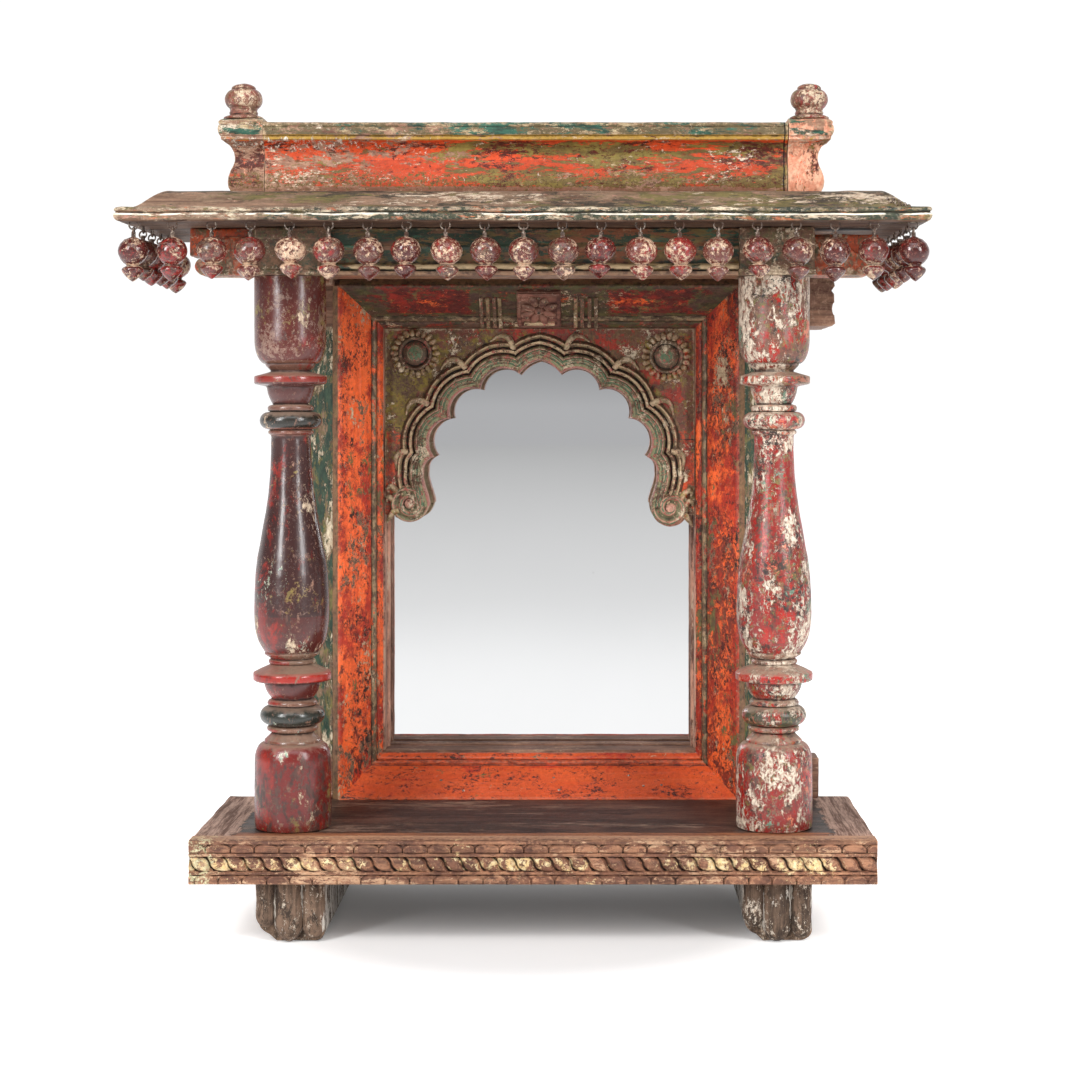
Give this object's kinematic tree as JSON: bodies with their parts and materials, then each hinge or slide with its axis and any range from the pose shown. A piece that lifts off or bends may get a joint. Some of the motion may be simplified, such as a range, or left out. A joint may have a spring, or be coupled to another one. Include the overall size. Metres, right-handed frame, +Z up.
{
  "type": "house shrine",
  "caption": "Carved and painted wooden house shrine: a small porch with turned columns, a cusped arch over a mirror niche, a projecting eave with hanging drops, and a parapet with finials.",
  "frame": {"origin": "middle of the footprint, on the ground", "axes": "+Z up, +Y from the front to the back, +X to the right as seen from the front"},
  "size_m": [0.89, 0.412, 0.968],
  "materials": {
    "grey_wood": "weathered bare wood",
    "dark_wood": "dark worn wood",
    "carved_brown": "carved wood with paint remnants",
    "brown_wood": "old brown wood",
    "maroon_paint": "worn glossy paint on wood",
    "red_paint": "flaking paint on wood",
    "green_paint": "flaking paint on wood",
    "dark_green_paint": "worn paint on wood",
    "orange_paint": "worn paint on wood",
    "arch_paint": "carved wood with layers of worn paint",
    "bracket_paint": "worn paint on wood",
    "eave_paint": "flaking paint on wood",
    "parapet_paint": "flaking paint on wood",
    "drop_paint": "dusty flaking paint on turned wood",
    "rusty_wire": "rusty iron wire",
    "mirror": "flat mirror glass"
  },
  "bodies": {
    "shrine": {"feet": "grey_wood", "base_board": "dark_wood", "base_front_rail": "carved_brown", "left_column": "maroon_paint", "right_column": "red_paint", "frame_sill": "brown_wood", "frame_head": "brown_wood", "left_jamb": "green_paint", "right_jamb": "green_paint", "casing_left": "orange_paint", "casing_right": "orange_paint", "casing_top": "orange_paint", "casing_bottom": "orange_paint", "arch_left": "arch_paint", "arch_right": "arch_paint", "flower_panel": "arch_paint", "mirror": "mirror", "back_panel": "brown_wood", "front_beam": "dark_green_paint", "bracket_capitals": "bracket_paint", "side_beams": "brown_wood", "back_beam": "brown_wood", "eave_front": "eave_paint", "eave_sides": "eave_paint", "roof_deck": "brown_wood", "parapet_rail": "parapet_paint", "parapet_blocks": "parapet_paint", "finials": "parapet_paint", "drop_hooks": "rusty_wire"},
    "drop_front_01": {"drop_front_01": "drop_paint"},
    "drop_front_02": {"drop_front_02": "drop_paint"},
    "drop_front_03": {"drop_front_03": "drop_paint"},
    "drop_front_04": {"drop_front_04": "drop_paint"},
    "drop_front_05": {"drop_front_05": "drop_paint"},
    "drop_front_06": {"drop_front_06": "drop_paint"},
    "drop_front_07": {"drop_front_07": "drop_paint"},
    "drop_front_08": {"drop_front_08": "drop_paint"},
    "drop_front_09": {"drop_front_09": "drop_paint"},
    "drop_front_10": {"drop_front_10": "drop_paint"},
    "drop_front_11": {"drop_front_11": "drop_paint"},
    "drop_front_12": {"drop_front_12": "drop_paint"},
    "drop_front_13": {"drop_front_13": "drop_paint"},
    "drop_front_14": {"drop_front_14": "drop_paint"},
    "drop_front_15": {"drop_front_15": "drop_paint"},
    "drop_front_16": {"drop_front_16": "drop_paint"},
    "drop_front_17": {"drop_front_17": "drop_paint"},
    "drop_front_18": {"drop_front_18": "drop_paint"},
    "drop_front_19": {"drop_front_19": "drop_paint"},
    "drop_front_20": {"drop_front_20": "drop_paint"},
    "drop_front_21": {"drop_front_21": "drop_paint"},
    "drop_left_1": {"drop_left_1": "drop_paint"},
    "drop_left_2": {"drop_left_2": "drop_paint"},
    "drop_left_3": {"drop_left_3": "drop_paint"},
    "drop_left_4": {"drop_left_4": "drop_paint"},
    "drop_left_5": {"drop_left_5": "drop_paint"},
    "drop_right_1": {"drop_right_1": "drop_paint"},
    "drop_right_2": {"drop_right_2": "drop_paint"},
    "drop_right_3": {"drop_right_3": "drop_paint"},
    "drop_right_4": {"drop_right_4": "drop_paint"},
    "drop_right_5": {"drop_right_5": "drop_paint"}
  },
  "joints": [
    {"name": "swing_front_01", "type": "hinge", "parent": "shrine", "child": "drop_front_01", "pos_m": [-0.427, -0.188, 0.7925], "axis": [-1, 0, 0], "range_deg": [-25, 40]},
    {"name": "swing_front_02", "type": "hinge", "parent": "shrine", "child": "drop_front_02", "pos_m": [-0.3843, -0.188, 0.7925], "axis": [-1, 0, 0], "range_deg": [-25, 40]},
    {"name": "swing_front_03", "type": "hinge", "parent": "shrine", "child": "drop_front_03", "pos_m": [-0.3416, -0.188, 0.7925], "axis": [-1, 0, 0], "range_deg": [-25, 40]},
    {"name": "swing_front_04", "type": "hinge", "parent": "shrine", "child": "drop_front_04", "pos_m": [-0.2989, -0.188, 0.7925], "axis": [-1, 0, 0], "range_deg": [-25, 40]},
    {"name": "swing_front_05", "type": "hinge", "parent": "shrine", "child": "drop_front_05", "pos_m": [-0.2562, -0.188, 0.7925], "axis": [-1, 0, 0], "range_deg": [-25, 40]},
    {"name": "swing_front_06", "type": "hinge", "parent": "shrine", "child": "drop_front_06", "pos_m": [-0.2135, -0.188, 0.7925], "axis": [-1, 0, 0], "range_deg": [-25, 40]},
    {"name": "swing_front_07", "type": "hinge", "parent": "shrine", "child": "drop_front_07", "pos_m": [-0.1708, -0.188, 0.7925], "axis": [-1, 0, 0], "range_deg": [-25, 40]},
    {"name": "swing_front_08", "type": "hinge", "parent": "shrine", "child": "drop_front_08", "pos_m": [-0.1281, -0.188, 0.7925], "axis": [-1, 0, 0], "range_deg": [-25, 40]},
    {"name": "swing_front_09", "type": "hinge", "parent": "shrine", "child": "drop_front_09", "pos_m": [-0.0854, -0.188, 0.7925], "axis": [-1, 0, 0], "range_deg": [-25, 40]},
    {"name": "swing_front_10", "type": "hinge", "parent": "shrine", "child": "drop_front_10", "pos_m": [-0.0427, -0.188, 0.7925], "axis": [-1, 0, 0], "range_deg": [-25, 40]},
    {"name": "swing_front_11", "type": "hinge", "parent": "shrine", "child": "drop_front_11", "pos_m": [0, -0.188, 0.7925], "axis": [-1, 0, 0], "range_deg": [-25, 40]},
    {"name": "swing_front_12", "type": "hinge", "parent": "shrine", "child": "drop_front_12", "pos_m": [0.0427, -0.188, 0.7925], "axis": [-1, 0, 0], "range_deg": [-25, 40]},
    {"name": "swing_front_13", "type": "hinge", "parent": "shrine", "child": "drop_front_13", "pos_m": [0.0854, -0.188, 0.7925], "axis": [-1, 0, 0], "range_deg": [-25, 40]},
    {"name": "swing_front_14", "type": "hinge", "parent": "shrine", "child": "drop_front_14", "pos_m": [0.1281, -0.188, 0.7925], "axis": [-1, 0, 0], "range_deg": [-25, 40]},
    {"name": "swing_front_15", "type": "hinge", "parent": "shrine", "child": "drop_front_15", "pos_m": [0.1708, -0.188, 0.7925], "axis": [-1, 0, 0], "range_deg": [-25, 40]},
    {"name": "swing_front_16", "type": "hinge", "parent": "shrine", "child": "drop_front_16", "pos_m": [0.2135, -0.188, 0.7925], "axis": [-1, 0, 0], "range_deg": [-25, 40]},
    {"name": "swing_front_17", "type": "hinge", "parent": "shrine", "child": "drop_front_17", "pos_m": [0.2562, -0.188, 0.7925], "axis": [-1, 0, 0], "range_deg": [-25, 40]},
    {"name": "swing_front_18", "type": "hinge", "parent": "shrine", "child": "drop_front_18", "pos_m": [0.2989, -0.188, 0.7925], "axis": [-1, 0, 0], "range_deg": [-25, 40]},
    {"name": "swing_front_19", "type": "hinge", "parent": "shrine", "child": "drop_front_19", "pos_m": [0.3416, -0.188, 0.7925], "axis": [-1, 0, 0], "range_deg": [-25, 40]},
    {"name": "swing_front_20", "type": "hinge", "parent": "shrine", "child": "drop_front_20", "pos_m": [0.3843, -0.188, 0.7925], "axis": [-1, 0, 0], "range_deg": [-25, 40]},
    {"name": "swing_front_21", "type": "hinge", "parent": "shrine", "child": "drop_front_21", "pos_m": [0.427, -0.188, 0.7925], "axis": [-1, 0, 0], "range_deg": [-25, 40]},
    {"name": "swing_left_1", "type": "hinge", "parent": "shrine", "child": "drop_left_1", "pos_m": [-0.427, -0.14, 0.7925], "axis": [0, 1, 0], "range_deg": [-25, 40]},
    {"name": "swing_left_2", "type": "hinge", "parent": "shrine", "child": "drop_left_2", "pos_m": [-0.427, -0.092, 0.7925], "axis": [0, 1, 0], "range_deg": [-25, 40]},
    {"name": "swing_left_3", "type": "hinge", "parent": "shrine", "child": "drop_left_3", "pos_m": [-0.427, -0.044, 0.7925], "axis": [0, 1, 0], "range_deg": [-25, 40]},
    {"name": "swing_left_4", "type": "hinge", "parent": "shrine", "child": "drop_left_4", "pos_m": [-0.427, 0.004, 0.7925], "axis": [0, 1, 0], "range_deg": [-25, 40]},
    {"name": "swing_left_5", "type": "hinge", "parent": "shrine", "child": "drop_left_5", "pos_m": [-0.427, 0.052, 0.7925], "axis": [0, 1, 0], "range_deg": [-25, 40]},
    {"name": "swing_right_1", "type": "hinge", "parent": "shrine", "child": "drop_right_1", "pos_m": [0.427, -0.14, 0.7925], "axis": [0, -1, 0], "range_deg": [-25, 40]},
    {"name": "swing_right_2", "type": "hinge", "parent": "shrine", "child": "drop_right_2", "pos_m": [0.427, -0.092, 0.7925], "axis": [0, -1, 0], "range_deg": [-25, 40]},
    {"name": "swing_right_3", "type": "hinge", "parent": "shrine", "child": "drop_right_3", "pos_m": [0.427, -0.044, 0.7925], "axis": [0, -1, 0], "range_deg": [-25, 40]},
    {"name": "swing_right_4", "type": "hinge", "parent": "shrine", "child": "drop_right_4", "pos_m": [0.427, 0.004, 0.7925], "axis": [0, -1, 0], "range_deg": [-25, 40]},
    {"name": "swing_right_5", "type": "hinge", "parent": "shrine", "child": "drop_right_5", "pos_m": [0.427, 0.052, 0.7925], "axis": [0, -1, 0], "range_deg": [-25, 40]}
  ]
}
